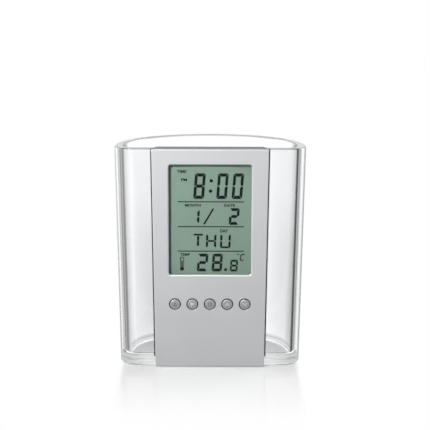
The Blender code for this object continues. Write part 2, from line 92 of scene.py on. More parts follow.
def split(tree, vector):
    """The X, Y and Z of a place or direction."""
    return node(tree, "ShaderNodeSeparateXYZ", {0: vector}).outputs


def object_place(tree):
    """A point's place in the object's own coordinates, whole and as its X, Y and Z."""
    place = node(tree, "ShaderNodeTexCoord").outputs["Object"]
    return place, split(tree, place)


def ramp(tree, share, stops):
    """A colour ramp through grey values, as pairs (place, value)."""
    made = node(tree, "ShaderNodeValToRGB", {"Fac": share})
    while len(made.color_ramp.elements) < len(stops):
        made.color_ramp.elements.new(0.5)
    for element, (place, value) in zip(made.color_ramp.elements, stops):
        element.position = place
        element.color = (value, value, value, 1)
    return made.outputs["Color"]


def noise(tree, vector, scale, detail=2.0):
    inputs = {"Vector": vector, "Scale": scale, "Detail": detail}
    return node(tree, "ShaderNodeTexNoise", inputs).outputs["Fac"]


def map_range(tree, value, low, high, **settings):
    """0 up to one value, 1 from another on, and a slope between them."""
    inputs = {"Value": value, "From Min": low, "From Max": high}
    return node(tree, "ShaderNodeMapRange", inputs, **settings).outputs[0]


def blend_values(tree, share, low, high, **settings):
    inputs = {"Factor": share, 6: low, 7: high}
    return node(tree, "ShaderNodeMix", inputs, data_type="RGBA", **settings).outputs[2]


def blend_shaders(tree, share, first, second):
    return node(tree, "ShaderNodeMixShader", {0: share, 1: first, 2: second}).outputs[0]


def glow(tree, strength, colour=(1, 1, 1, 1), kind="ShaderNodeEmission"):
    return node(tree, kind, {"Color": colour, "Strength": strength}).outputs[0]


def set_surface(tree, made, output="Material Output"):
    tree.links.new(made, tree.nodes[output].inputs["Surface"])


def ray_kinds(tree):
    """1 for rays seen straight, through clear plastic or as a mirror image, before a matt bounce."""
    path = node(tree, "ShaderNodeLightPath").outputs
    direct = calculate(tree, "LESS_THAN", path["Diffuse Depth"], 0.5)
    passed = calculate(tree, "GREATER_THAN", path["Transmission Depth"], 0.5)
    return path["Is Camera Ray"], times(tree, passed, direct), times(tree, path["Is Glossy Ray"], direct)


front_to_back = 0.2  # how far to each side of the middle the studio's front turns into its back


def sideways(tree, coordinates):
    """The level part of a direction: its place from left to right, and 1 where it points back."""
    level = node(tree, "ShaderNodeVectorMath", {0: coordinates, 1: (1, 1, 0)}, operation="MULTIPLY")
    way = node(tree, "ShaderNodeVectorMath", {0: level.outputs[0]}, operation="NORMALIZE")
    parts = split(tree, way.outputs[0])
    across = calculate(tree, "MULTIPLY_ADD", parts["X"], 0.5, 0.5)
    return across, map_range(tree, parts["Y"], -front_to_back, front_to_back)


def seen_through(tree, coordinates):
    """What clear plastic shows of the studio: white behind, greyer in front, dark at the sides."""
    across, behind = sideways(tree, coordinates)
    return blend_values(tree, behind, ramp(tree, across, front_levels), ramp(tree, across, side_levels))


# the studio's levels: as light on matt faces, through clear plastic, and as a mirror image
ambient_level = 0.04
through_level = 1.2
mirror_level = 1.25
ceiling_levels = [(0, 1), (0.45, 0.95), (0.6, 0.3), (1, 0.2)]
side_levels = [
    (0, 0.18), (0.02, 0.22), (0.04, 0.4), (0.16, 0.42), (0.2, 1.1), (0.4, 1.1), (0.46, 1),
    (0.6, 1), (0.66, 1.05), (0.79, 1.05), (0.84, 0.42), (0.96, 0.4), (0.98, 0.05), (1, 0.04),
]
front_levels = [(0, 0.4), (0.35, 0.55), (0.65, 0.4), (1, 0.15)]
mirror_behind = [(0, 1), (1, 0.9)]
mirror_front = [(0, 0.52), (0.3, 0.6), (0.6, 0.8)]
mirror_sides = [(0.4, 1.2), (0.6, 1)]
mirror_side_band = (0.55, 0.85)

world = bpy.data.worlds.new("studio")
bpy.context.scene.world = world
world.use_nodes = True
tree = world.node_tree
camera_ray, through, mirrored = ray_kinds(tree)
direction = node(tree, "ShaderNodeTexCoord").outputs["Generated"]
parts = split(tree, direction)
overhead = ramp(tree, parts["Z"], ceiling_levels)
around = blend_values(tree, 1.0, seen_through(tree, direction), overhead, blend_type="MULTIPLY")
across, behind = sideways(tree, direction)
by_height = blend_values(
    tree, behind, ramp(tree, parts["Z"], mirror_front), ramp(tree, parts["Z"], mirror_behind)
)
to_side = map_range(tree, calculate(tree, "ABSOLUTE", parts["X"]), *mirror_side_band)
reflected = blend_values(tree, to_side, by_height, ramp(tree, across, mirror_sides))
light = "ShaderNodeBackground"
made = glow(tree, ambient_level, kind=light)
made = blend_shaders(tree, mirrored, made, glow(tree, mirror_level, reflected, light))
made = blend_shaders(tree, through, made, glow(tree, through_level, around, light))
made = blend_shaders(tree, camera_ray, made, glow(tree, 1.0, kind=light))
set_surface(tree, made, "World Output")

# The floor mirrors the object softly in a patch round it and is plain white further off. Through the
# cup it shows the studio's sides, and under the cup's own base an even white.
floor_reach = 4.0
floor_glow = 0.14
floor_bounce = 0.35
patch_start = (0.0385, 0.0)  # where the mirroring patch begins to fade, across and to the front
patch_fade = (0.004, 0.11)
patch_seen_through = 0.93
patch_level = 0.56
patch_outward_slope = 1.5  # how much lighter the patch gets for each metre
patch_back_slope = -0.35
patch_right_slope = -1.0
patch_range = (0.1, 1.6)
base_half = 0.043  # half the width and depth of the floor that counts as under the cup
base_reach = 0.021
base_fade = (0.001, 0.0015)
base_level = 1.3
cup_widest = 0.011  # how far in front of the middle the cup's back begins to curve

corners = [(-1, -1), (1, -1), (1, 1), (-1, 1)]
mesh = bpy.data.meshes.new("floor")
mesh.from_pydata([(x * floor_reach, y * floor_reach, 0) for x, y in corners], [], [(0, 1, 2, 3)])
floor = added("floor", mesh)
floor_white, tree, shader = finish("floor_white", (0.93, 0.93, 0.93), 0.04, IOR=1.7)
camera_ray, through, mirrored = ray_kinds(tree)
seen = calculate(tree, "MAXIMUM", camera_ray, through)
shader.inputs["Emission Color"].default_value = (1, 1, 1, 1)
tree.links.new(times(tree, seen, floor_glow), shader.inputs["Emission Strength"])
place, parts = object_place(tree)
outwards, along = (calculate(tree, "ABSOLUTE", parts[axis]) for axis in "XY")
fades = [
    map_range(tree, away, start, start + fade, interpolation_type="SMOOTHSTEP")
    for away, start, fade in zip((outwards, along), patch_start, patch_fade)
]
beyond = calculate(tree, "MAXIMUM", *fades)

level = calculate(tree, "MULTIPLY_ADD", outwards, patch_outward_slope, patch_level)
level = calculate(tree, "MULTIPLY_ADD", parts["Y"], patch_back_slope, level)
level = calculate(tree, "MULTIPLY_ADD", parts["X"], patch_right_slope, level)
level = node(tree, "ShaderNodeClamp", {"Value": level, "Min": patch_range[0], "Max": patch_range[1]})
inside = node(tree, "ShaderNodeClamp", {"Value": parts["X"], "Min": -base_half, "Max": base_half})
aside = calculate(tree, "SUBTRACT", parts["X"], inside.outputs[0])
back = calculate(tree, "ADD", parts["Y"], cup_widest)
beside = node(tree, "ShaderNodeCombineXYZ", {"X": aside, "Y": back}).outputs[0]
under_cup = times(
    tree,
    map_range(tree, along, base_reach, base_reach - base_fade[1]),
    map_range(tree, outwards, base_half, base_half - base_fade[0]),
)
sides = glow(tree, through_level, seen_through(tree, beside))
clear = blend_shaders(tree, under_cup, sides, glow(tree, base_level))
made = blend_shaders(tree, through, glow(tree, level.outputs[0]), clear)
made = blend_shaders(tree, camera_ray, made, glow(tree, 1.0))
beyond = calculate(tree, "MAXIMUM", beyond, times(tree, through, patch_seen_through))
share = calculate(tree, "MAXIMUM", times(tree, beyond, seen), mirrored)
made = blend_shaders(tree, share, shader.outputs[0], made)
path = node(tree, "ShaderNodeLightPath").outputs
bounced = calculate(tree, "GREATER_THAN", path["Diffuse Depth"], 0.5)
dim = node(tree, "ShaderNodeBsdfDiffuse", {"Color": (*[floor_bounce] * 3, 1)})
set_surface(tree, blend_shaders(tree, bounced, made, dim.outputs[0]))
mesh.materials.append(floor_white)


def soft_light(name, place, target, size, power):
    """A square area light that faces a target point."""
    lamp = bpy.data.lights.new(name, "AREA")
    lamp.size = size
    lamp.energy = power
    item = added(name, lamp)
    item.location = place
    item.rotation_euler = (Vector(target) - Vector(place)).to_track_quat("-Z", "Y").to_euler()


soft_light("key", (-0.19, -0.245, 0.258), (0, -0.02, 0.05), 0.04, 0.84)
soft_light("top", (0, 0, 1.2), (0, 0, 0), 1.0, 3.0)
soft_light("rear", (0.6, 0.7, 1.0), (0, 0, 0.05), 0.6, 3.0)

camera_place = (0.00227, -0.62594, 0.20822)
camera_pitch = math.radians(12.64)
camera_roll = math.radians(0.16)
camera_lens = 113.72

lens = bpy.data.cameras.new("camera")
lens.lens = camera_lens
camera = added("camera", lens)
camera.matrix_world = (
    Matrix.Translation(camera_place)
    @ Matrix.Rotation(math.pi / 2 - camera_pitch, 4, "X")
    @ Matrix.Rotation(camera_roll, 4, "Z")
)
bpy.context.scene.camera = camera
bpy.context.scene.view_settings.view_transform = "Standard"


# Clear cup: one thick-walled moulding in polished clear plastic, D-shaped in plan and a little wider
# at its rim, with a heavy floor. The slot in its flat front takes the clock module.
def mix(low, high, share):
    return low + (high - low) * share


def quarter_round(radius, steps):
    """Pairs (inset, distance from the end) that take an edge from its side round to its end."""
    turns = [math.pi / 2 * i / steps for i in range(steps + 1)]
    return [(radius * (1 - math.cos(turn)), radius * (1 - math.sin(turn))) for turn in turns]


def arc(x, y, radius, start, steps):
    """The points of a quarter circle that starts at an angle in quarter turns."""
    turns = [math.pi / 2 * (start + i / steps) for i in range(steps + 1)]
    return [(x + radius * math.cos(turn), y + radius * math.sin(turn)) for turn in turns]


def upright(outline, depth):
    """An (x, z) outline set upright at a depth."""
    return [Vector((x, depth, z)) for x, z in outline]


def plate(outline, front, back):
    """An (x, z) outline as a flat form between two depths."""
    return [upright(outline, front), upright(outline, back)]


def piece(name, forms, material=None):
    """One closed mesh from forms: each is a list of rings, joined in order and capped at both ends."""
    shape = bmesh.new()
    for rings in forms:
        loops = [[shape.verts.new(point) for point in ring] for ring in rings]
        for first, second in zip(loops, loops[1:]):
            for i in range(len(first)):
                j = (i + 1) % len(first)
                shape.faces.new((first[i], first[j], second[j], second[i]))
        shape.faces.new(loops[0])
        shape.faces.new(loops[-1])
    bmesh.ops.recalc_face_normals(shape, faces=shape.faces)
    return placed(name, shape, material)


def placed(name, shape, material=None):
    """Turns a finished bmesh into an object of the scene, in its material."""
    mesh = bpy.data.meshes.new(name)
    shape.to_mesh(mesh)
    shape.free()
    if material:
        mesh.materials.append(material)
    return added(name, mesh)


def carve(item, forms, operation="DIFFERENCE"):
    """Cuts forms out of a piece, or fuses them to it, and leaves a plain mesh."""
    tool = piece("tool", forms)
    change = item.modifiers.new("change", "BOOLEAN")
    change.operation = operation
    change.solver = "EXACT"
    change.object = tool
    settle(item)
    bpy.data.objects.remove(tool)


def settle(item):
    """Turns what a piece's modifiers make into its own plain mesh."""
    graph = bpy.context.evaluated_depsgraph_get()
    made = bpy.data.meshes.new_from_object(item.evaluated_get(graph))
    item.modifiers.clear()
    made.name = item.name
    item.data = made


def smooth(item, degrees=32):
    """Shades a piece smoothly up to an angle, with its large faces kept flat."""
    item.data.shade_smooth()
    item.data.set_sharp_from_angle(angle=math.radians(degrees))
    flat = item.modifiers.new("flat_faces", "WEIGHTED_NORMAL")
    flat.keep_sharp = True
    flat.weight = 100
    settle(item)


def seat(item, body, slot, *nodes):
    """The piece rides on its body and stands for its CAD nodes, which it hides; its slot is not used."""
    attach(item, body)
    if nodes:
        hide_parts(*nodes)


cup_height = 0.103
rim_size = (0.088, 0.0425)
base_size = (0.0842, 0.0411)
cup_wall = 0.004
cup_floor = 0.0042
front_corner = 0.009
rim_rounding = 0.0006
foot_rounding = 0.0011
floor_fillet = 0.0018
wall_face = -0.02
wall_inside = wall_face + cup_wall
slot_edge_rounding = 0.00025
overrun = 0.001  # how far a cut reaches past what it cuts
clearance = 0.0003
panel_top_width = 0.0532
panel_base_width = 0.0506
slot_overlap = 0.0007
case_overhang = 0.0006
corner_steps = 20
back_steps = 180
fillet_steps = 8
edge_steps = 6
slot_edge_steps = 5


def panel_half(height):
    return mix(panel_base_width, panel_top_width, height / cup_height) / 2


def cup_ring(height, inset):
    """The cup's outline at a height: a flat front, two round corners and a half-ellipse back."""
    half = mix(base_size[0], rim_size[0], height / cup_height) / 2
    depth = mix(base_size[1], rim_size[1], height / cup_height)
    reach = depth - front_corner - inset
    turns = [math.pi * i / back_steps for i in range(1, back_steps)]
    outline = arc(half - front_corner, front_corner, front_corner - inset, 3, corner_steps)
    outline += [((half - inset) * math.cos(t), front_corner + reach * math.sin(t)) for t in turns]
    outline += arc(front_corner - half, front_corner, front_corner - inset, 2, corner_steps)
    return [Vector((x, wall_face + y, height)) for x, y in outline]


def flared_slot(height):
    """The slot's cross-section: straight sides that open into a small rounding at both faces."""
    half = panel_half(height) - slot_overlap
    wide = half + slot_edge_rounding + overrun
    rounding = quarter_round(slot_edge_rounding, slot_edge_steps)
    side = [(wide, wall_face - overrun)]
    side += [(half + aside, wall_face + rise) for rise, aside in rounding]
    side += [(half + aside, wall_inside - rise) for rise, aside in reversed(rounding)]
    side.append((wide, wall_inside + overrun))
    outline = side + [(-x, y) for x, y in reversed(side)]
    return [Vector((x, y, height)) for x, y in outline]


foot = quarter_round(foot_rounding, fillet_steps)
rim = quarter_round(rim_rounding, edge_steps)
fillet = quarter_round(floor_fillet, fillet_steps)
rings = [cup_ring(rise, inset) for inset, rise in reversed(foot)]
rings += [cup_ring(cup_height - drop, inset) for inset, drop in rim]
rings += [cup_ring(cup_height - drop, cup_wall - inset) for inset, drop in reversed(rim)]
rings += [cup_ring(cup_floor + rise, cup_wall + inset) for inset, rise in fillet]
cup = piece("clear_cup", [rings])
carve(cup, [[flared_slot(cup_floor), flared_slot(cup_height + overrun)]])

# the flat seat for the clock module takes the place of the fillet behind the slot
seat_half = panel_half(cup_floor + floor_fillet) + case_overhang + clearance
seat_top = cup_floor + floor_fillet + overrun
seat_sides = [(-seat_half, cup_floor), (seat_half, cup_floor)]
seat_outline = seat_sides + [(seat_half, seat_top), (-seat_half, seat_top)]
carve(cup, [plate(seat_outline, wall_inside, wall_inside + floor_fillet + overrun)])
smooth(cup)

# Painted shade in the clear plastic's colour, in pairs (place, share): dark bands beside its solid
# corners, a dark line along the joint with the panel, a dark rim, streaks in the slab of its floor, a
# band in the fillet, and a faint shade over the walls, uneven across and strongest in their lower part
left_corner_shades = [(0, 0), (0.25, 0), (0.36, 0.9), (0.6, 0.9), (0.68, 0)]
right_corner_shades = [(0, 0), (0.36, 0), (0.44, 0.6), (0.56, 0.7), (0.62, 0)]
corner_band = 0.005
front_reach = 0.0072
joint_shades = [(0, 0), (0.1, 1), (0.8, 1), (0.88, 0)]
joint_band = 0.001
rim_shades = [(0, 0), (0.75, 1), (1, 1)]
rim_shades_to_back = [(0, 1), (1, 0.8)]
rim_shades_at_corner = [(0, 1), (0.4, 0.15)]
rim_corner_band = (0.014, 0.006)
slab_shades = [
    (0, 0.75), (0.12, 0.8), (0.2, 0.86), (0.27, 1), (0.32, 0.86), (0.42, 0.84), (0.5, 1),
    (0.6, 0.98), (0.66, 0.84), (0.78, 0.88), (0.88, 1), (1, 0.95),
]
slab_shades_by_side = [(0, 0.8), (1, 1)]
slab_side_band = (0.013, 0.005)
slab_top = cup_floor + 0.0017
slab_waves = 0.004
wave_scale = 120.0
wave_stretch = (1, 1, 2.5)
fillet_shades = [(0, 0), (0.15, 0), (0.25, 0.45), (0.7, 0.45), (1, 0)]
fillet_band = 0.0027
wall_shade_across = [(0, 0), (0.19, 0.75), (0.5, 0.4), (0.81, 0.1), (1, 1)]
wall_shade_by_height = [
    (0, 0.3), (0.08, 0.5), (0.13, 0.95), (0.35, 1), (0.55, 0.85), (0.78, 0.3), (1, 0.2),
]
outline_band = (0.5, 0.7)  # how far a face turns away before it looks dark
clear_tint = (0.925, 0.93, 0.94, 1)
wall_shade_tint = (0.74, 0.745, 0.755, 1)
dark_tint = (0.12, 0.13, 0.13, 1)
left_joint_shade_tint = (0.045, 0.047, 0.048, 1)
right_joint_shade_tint = (0.012, 0.013, 0.013, 1)
caught_tint = (0.92, 0.92, 0.92, 1)
shadow_tint = (0.95, 0.96, 0.96, 1)
see_through = {"Transmission Weight": 1.0}


def let_shadows_pass(tree, made, colour=(1, 1, 1, 1)):
    """Sets a clear surface that keeps its own look but lets lamp light through."""
    passing = node(tree, "ShaderNodeBsdfTransparent", {"Color": colour}).outputs[0]
    shadow_ray = node(tree, "ShaderNodeLightPath").outputs["Is Shadow Ray"]
    set_surface(tree, blend_shaders(tree, shadow_ray, made, passing))


def tapered_half(tree, height, base, top):
    """Half of a width that grows evenly from the ground to the rim."""
    return calculate(tree, "MULTIPLY_ADD", height, (top - base) / 2 / cup_height, base / 2)


clear_plastic, tree, shader = finish("clear_plastic", (0.95, 0.955, 0.96), 0.0, IOR=1.49, **see_through)
place, parts = object_place(tree)
side = calculate(tree, "ABSOLUTE", parts["X"])
cup_half = tapered_half(tree, parts["Z"], base_size[0], rim_size[0])
from_side = calculate(tree, "SUBTRACT", cup_half, side)
front_half = tapered_half(tree, parts["Z"], panel_base_width, panel_top_width)
past_panel = calculate(tree, "SUBTRACT", side, front_half)
to_right = map_range(tree, parts["X"], -panel_base_width / 2, panel_base_width / 2)
facing_front = map_range(tree, parts["Y"], wall_face + front_corner, wall_face + front_reach)
behind_front = calculate(tree, "SUBTRACT", 1.0, facing_front)
towards_back = map_range(tree, parts["Y"], wall_inside, 0)

facing = node(tree, "ShaderNodeLayerWeight", {"Blend": 0.5}).outputs["Facing"]
from_edge = map_range(tree, from_side, 0, corner_band)
left_share = ramp(tree, from_edge, left_corner_shades)
right_share = ramp(tree, from_edge, right_corner_shades)
corner_share = times(tree, blend_values(tree, to_right, left_share, right_share), facing_front)
joint_share = times(
    tree,
    ramp(tree, map_range(tree, past_panel, -joint_band, joint_band), joint_shades),
    map_range(tree, parts["Y"], wall_inside, wall_inside - clearance),
    map_range(tree, parts["Z"], cup_floor, cup_floor + clearance),
)
at_corner = times(tree, map_range(tree, from_side, *rim_corner_band), towards_back)
rim_share = times(
    tree,
    ramp(tree, map_range(tree, parts["Z"], cup_height - rim_rounding, cup_height), rim_shades),
    ramp(tree, towards_back, rim_shades_to_back),
    ramp(tree, at_corner, rim_shades_at_corner),
)
# the painted streaks of shade in the slab wave with a stretched noise
stretched = node(tree, "ShaderNodeMapping", {"Vector": place, "Scale": wave_stretch}).outputs[0]
waves = noise(tree, stretched, wave_scale)
rise = calculate(tree, "MULTIPLY_ADD", waves, slab_waves, -slab_waves / 2)
rise = calculate(tree, "ADD", parts["Z"], rise)
slab_share = times(
    tree,
    ramp(tree, map_range(tree, rise, 0, slab_top), slab_shades),
    facing_front,
    map_range(tree, parts["Z"], slab_top, slab_top - clearance),
    ramp(tree, map_range(tree, from_side, *slab_side_band), slab_shades_by_side),
)
over_floor = map_range(tree, parts["Z"], cup_floor, cup_floor + fillet_band)
fillet_share = times(tree, ramp(tree, over_floor, fillet_shades), behind_front)
# painted shade: faces that turn away from the view are painted dark, and so are the bands beside the
# corners, round the rim, in the slab and in the fillet
dark_share = map_range(tree, facing, *outline_band)
for share in (corner_share, rim_share, slab_share, fillet_share):
    dark_share = calculate(tree, "MAXIMUM", dark_share, share)
on_floor = map_range(tree, parts["Z"], cup_floor + clearance, cup_floor + clearance / 2)
# painted shade over the walls: the clear plastic's colour is greyed unevenly across and most in the
# lower part, but not on the inner floor
wall_shade = times(
    tree,
    ramp(tree, map_range(tree, parts["X"], -rim_size[0] / 2, rim_size[0] / 2), wall_shade_across),
    ramp(tree, map_range(tree, parts["Z"], 0, cup_height), wall_shade_by_height),
    calculate(tree, "SUBTRACT", 1.0, times(tree, on_floor, behind_front)),
)
tint = blend_values(tree, wall_shade, clear_tint, wall_shade_tint)
tint = blend_values(tree, dark_share, tint, dark_tint)
# painted shade along the joint with the panel: a dark line, darker on the right, which lies in the key
# light's shadow
joint_shade_tint = blend_values(tree, to_right, left_joint_shade_tint, right_joint_shade_tint)
tint = blend_values(tree, joint_share, tint, joint_shade_tint)
tree.links.new(tint, shader.inputs["Base Color"])

# light that is mirrored to and fro inside the walls leaves them there, so that they stay bright
path = node(tree, "ShaderNodeLightPath").outputs
mirrored = calculate(tree, "GREATER_THAN", path["Glossy Depth"], 0.5)
inside = calculate(tree, "GREATER_THAN", path["Transmission Depth"], 0.5)
caught = times(tree, mirrored, inside)
leaving = node(tree, "ShaderNodeBsdfTransparent", {"Color": caught_tint}).outputs[0]
made = blend_shaders(tree, caught, shader.outputs[0], leaving)
let_shadows_pass(tree, made, shadow_tint)
cup.data.materials.append(clear_plastic)
seat(cup, "cup", "clear_plastic", "cup")


# Front panel: a moulding in satin silver lacquer. Its plate reaches from the rim to the ground in
# front of the cup's wall, and its skirt passes through the slot to meet the rear case.
plate_thickness = 0.0017
plate_back = wall_face - clearance
plate_front = plate_back - plate_thickness
plate_rounding = 0.0004
plate_corner = 0.0004
ground_gap = 0.0003
skirt_wall = 0.0012
module_low = cup_floor + clearance
window_half = (0.01887, 0.0257)  # half its width, half its height
window_place = 0.0701
window_corner = 0.0011
window_bevel = 0.0005
bevel_ease = 0.00008
recess_depth = 0.0011
recess_reach = 0.0013
hole_radius = 0.0027
hole_rounding = 0.00015
button_height = 0.03045
button_pitch = 0.00805
button_places = [button_pitch * i for i in range(-2, 3)]


def tapered_outline(half_at, low, high, inset, corner):
    """A tall four-sided outline with rounded corners, as (x, z), drawn in by an inset."""
    radius = max(corner - inset, clearance)
    top = high - inset - radius
    bottom = low + inset + radius
    right_low = half_at(bottom) - inset - radius
    right_top = half_at(top) - inset - radius
    return (
        arc(right_low, bottom, radius, 3, edge_steps)
        + arc(right_top, top, radius, 0, edge_steps)
        + arc(-right_top, top, radius, 1, edge_steps)
        + arc(-right_low, bottom, radius, 2, edge_steps)
    )


def turned(profile, x, z, sides=48):
    """A round form about a line along Y: its profile is pairs (radius, depth)."""
    turns = [2 * math.pi * i / sides for i in range(sides)]
    return [
        [Vector((x + radius * math.cos(t), depth, z + radius * math.sin(t))) for t in turns]
        for radius, depth in profile
    ]


def skirt_half(height):
    return panel_half(height) - slot_overlap - clearance


def window_outline(grow):
    low = window_place - window_half[1] - grow
    high = window_place + window_half[1] + grow
    return tapered_outline(lambda height: window_half[0] + grow, low, high, 0, window_corner + grow)


edge = quarter_round(plate_rounding, edge_steps)
depths = [(0, plate_back)] + [(inset, plate_front + rise) for inset, rise in edge]
rings = [
    upright(tapered_outline(panel_half, ground_gap, cup_height, inset, plate_corner), depth)
    for inset, depth in depths
]
panel = piece("silver_panel", [rings])
lip = (plate_front + plate_back) / 2
skirt = tapered_outline(skirt_half, module_low, cup_height, 0, plate_corner)
carve(panel, [plate(skirt, lip, wall_inside)], "UNION")
hollow = tapered_outline(
    lambda height: skirt_half(height) - skirt_wall,
    module_low + skirt_wall,
    cup_height - skirt_wall,
    0,
    plate_corner,
)
carve(panel, [plate(hollow, plate_back, wall_inside + overrun)])
hole = [
    (hole_radius + hole_rounding + overrun, plate_front - overrun),
    (hole_radius + hole_rounding, plate_front),
    (hole_radius, plate_front + hole_rounding),
    (hole_radius, plate_back + overrun),
]
carve(panel, [turned(hole, x, button_height) for x in button_places])
bevel_cuts = [  # how far the opening is widened at each depth behind the plate's face
    (window_bevel + bevel_ease, 0),
    (window_bevel - bevel_ease / 2, bevel_ease / 2),
    (bevel_ease / 2, window_bevel - bevel_ease / 2),
    (0, window_bevel + bevel_ease),
]
window = [upright(window_outline(window_bevel + overrun), plate_front - overrun)]
window += [upright(window_outline(grow), plate_front + depth) for grow, depth in bevel_cuts]
window.append(upright(window_outline(0), plate_back + overrun))
carve(panel, [window])
carve(panel, [plate(window_outline(recess_reach), plate_back - recess_depth, plate_back + overrun)])
smooth(panel)

lacquer_metallic = 0.8
slow_scale = 45.0
roughness_change = 0.12
bump_height = 0.00001


def grain_group(name, stretch):
    """A shared effect: fine grain, drawn out along X, under a slow change of shade."""
    group = bpy.data.node_groups.new(name, "ShaderNodeTree")
    sockets = {"INPUT": ("Grain", "Roughness", "Depth"), "OUTPUT": ("Roughness", "Height", "Shade")}
    for way, titles in sockets.items():
        for title in titles:
            group.interface.new_socket(title, in_out=way, socket_type="NodeSocketFloat")
    given = group.nodes.new("NodeGroupInput").outputs
    place = node(group, "ShaderNodeTexCoord").outputs["Object"]
    along = node(group, "ShaderNodeMapping", {"Vector": place, "Scale": stretch}).outputs[0]
    fine = noise(group, along, given["Grain"], detail=4.0)
    both = calculate(group, "ADD", fine, noise(group, place, slow_scale))
    centred = calculate(group, "ADD", both, -1.0)
    rough = calculate(group, "MULTIPLY_ADD", centred, roughness_change, given["Roughness"])
    result = group.nodes.new("NodeGroupOutput").inputs
    group.links.new(rough, result["Roughness"])
    group.links.new(times(group, fine, given["Depth"]), result["Height"])
    group.links.new(times(group, both, 0.5), result["Shade"])
    return group


def two_coloured(tree, shader, share, low, high):
    """Gives a finish a colour that goes from one to another with a share, and returns it."""
    shade = blend_values(tree, share, (*low, 1), (*high, 1))
    tree.links.new(shade, shader.inputs["Base Color"])
    return shade


def grained(tree, shader, group, grain, depth, change=0.05):
    """Gives a finish its grain: roughness, a fine bump and a faint change of its own colour."""
    roughness = shader.inputs["Roughness"].default_value
    inputs = {"Grain": grain, "Roughness": roughness, "Depth": depth}
    effect = node(tree, "ShaderNodeGroup", inputs, node_tree=group)
    inputs = {"Height": effect.outputs["Height"], "Distance": bump_height}
    tree.links.new(node(tree, "ShaderNodeBump", inputs).outputs["Normal"], shader.inputs["Normal"])
    tree.links.new(effect.outputs["Roughness"], shader.inputs["Roughness"])
    colour = shader.inputs["Base Color"].default_value[:3]
    low, high = ([part * (1 + sign * change) for part in colour] for sign in (-1, 1))
    return two_coloured(tree, shader, effect.outputs["Shade"], low, high)


def lacquered(name, colour, roughness, grain, depth, change, axis, band, painted_shade_colour):
    """Brushed silver lacquer that ends in a band along an axis, past which it is painted a flat colour
    without metal, as painted shade.
    """
    made, tree, shader = finish(name, colour, roughness, lacquer_metallic)
    shade = grained(tree, shader, brushed, grain, depth, change)
    painted_shade_share = map_range(tree, object_place(tree)[1][axis], *band)
    metallic = calculate(tree, "MULTIPLY_ADD", painted_shade_share, -lacquer_metallic, lacquer_metallic)
    tree.links.new(metallic, shader.inputs["Metallic"])
    tree.links.new(blend_values(tree, painted_shade_share, shade, painted_shade_colour), shader.inputs["Base Color"])
    return made


brushed = grain_group("brushed_lacquer", (0.035, 1, 1))
# the panel's top face is painted a flat dark grey without metal: painted shade in place of the grey it
# shows by reflection
silver_plastic = lacquered(
    "silver_plastic",
    (0.74, 0.755, 0.77),
    roughness=0.5,
    grain=900.0,
    depth=1.0,
    change=0.015,
    axis="Z",
    band=(cup_height - 0.00004, cup_height - 0.00002),
    painted_shade_colour=(0.16, 0.162, 0.165, 1),
)
panel.data.materials.append(silver_plastic)
seat(panel, "clock_module", "silver_plastic", "front_panel")


# Display window: a lens cut from thin clear sheet and glued into the recess behind the panel's
# bevelled opening, in front of the display.
lens_thickness = 0.0008
lens_reach = 0.001
lens_form = plate(window_outline(lens_reach), plate_back - lens_thickness, plate_back)
window_lens = piece("window_lens", [lens_form])
smooth(window_lens)
moulded = grain_group("moulded_grain", (1, 1, 1))
clear_lens, tree, shader = finish("clear_lens", (0.97, 0.98, 0.97), 0.02, IOR=1.15, **see_through)
effect = node(tree, "ShaderNodeGroup", {"Grain": 300.0, "Roughness": 0.0}, node_tree=moulded)
tree.links.new(effect.outputs["Roughness"], shader.inputs["Roughness"])
let_shadows_pass(tree, shader.outputs[0])
window_lens.data.materials.append(clear_lens)
seat(window_lens, "clock_module", "clear_lens", "display_window")


# Display: the liquid crystal cell shows grey-green through its satin front film, over a matt foil.
# A black frame holds it, and two strips of layered rubber join it to the board.
speckle_scale = 2600.0
matt = {"Specular IOR Level": 0.12}
display_green, tree, shader = finish("display_green", (0.275, 0.384, 0.314), 0.4, **matt)
speckle = noise(tree, object_place(tree)[0], speckle_scale)
two_coloured(tree, shader, speckle, (0.262, 0.37, 0.3), (0.294, 0.408, 0.336))


def dress(material, *nodes):
    """Gives CAD nodes that are shown as they are a better material."""
    for name in nodes:
        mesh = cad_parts[name].data
        for i in range(len(mesh.materials)):
            mesh.materials[i] = material


def grained_finish(name, colour, roughness, group, grain, depth, change=0.05, **others):
    """A finish with grain: how fine and how deep it is, and how far it changes the colour."""
    made, tree, shader = finish(name, colour, roughness, **others)
    grained(tree, shader, group, grain, depth, change)
    return made


dress(display_green, "lcd_cell")
foil = grained_finish("foil", (0.6, 0.62, 0.6), 0.4, moulded, 1500.0, 0.8, metallic=0.8)
dress(foil, "lcd_reflector")
black_plastic = grained_finish("black_plastic", (0.03, 0.03, 0.03), 0.5, moulded, 1800.0, 0.8, 0.15)
dress(black_plastic, "lcd_frame")

# the contact strips between the display and the board are thin dark and pink layers side by side
strip_rubber, tree, shader = finish("strip_rubber", (0.25, 0.1, 0.1), 0.7)
grained(tree, shader, moulded, 900.0, 0.4)
inputs = {"Vector": object_place(tree)[0], "Scale": 900.0, "Distortion": 0.2}
layers = node(tree, "ShaderNodeTexWave", inputs).outputs["Fac"]
two_coloured(tree, shader, layers, (0.32, 0.13, 0.13), (0.05, 0.035, 0.035))
dress(strip_rubber, "zebra_strip_upper", "zebra_strip_lower")


# Display marks: the lit segments, rules and small words. The real cell forms them in its crystal;
# here they are a dark film on its front, much thinner than a hair.
display_face = -0.02
marks_front = display_face - 0.000012
marks_back = display_face + 0.000002
segment_gap = 0.08
letter_bar = 0.85  # how thick a level bar is, in strokes
digit_bar = 1.2
word_boldness = 0.035
word_thickness = 0.01  # only tells the front of a word from its back
same_mark_point = 0.0000002
mm = 0.001


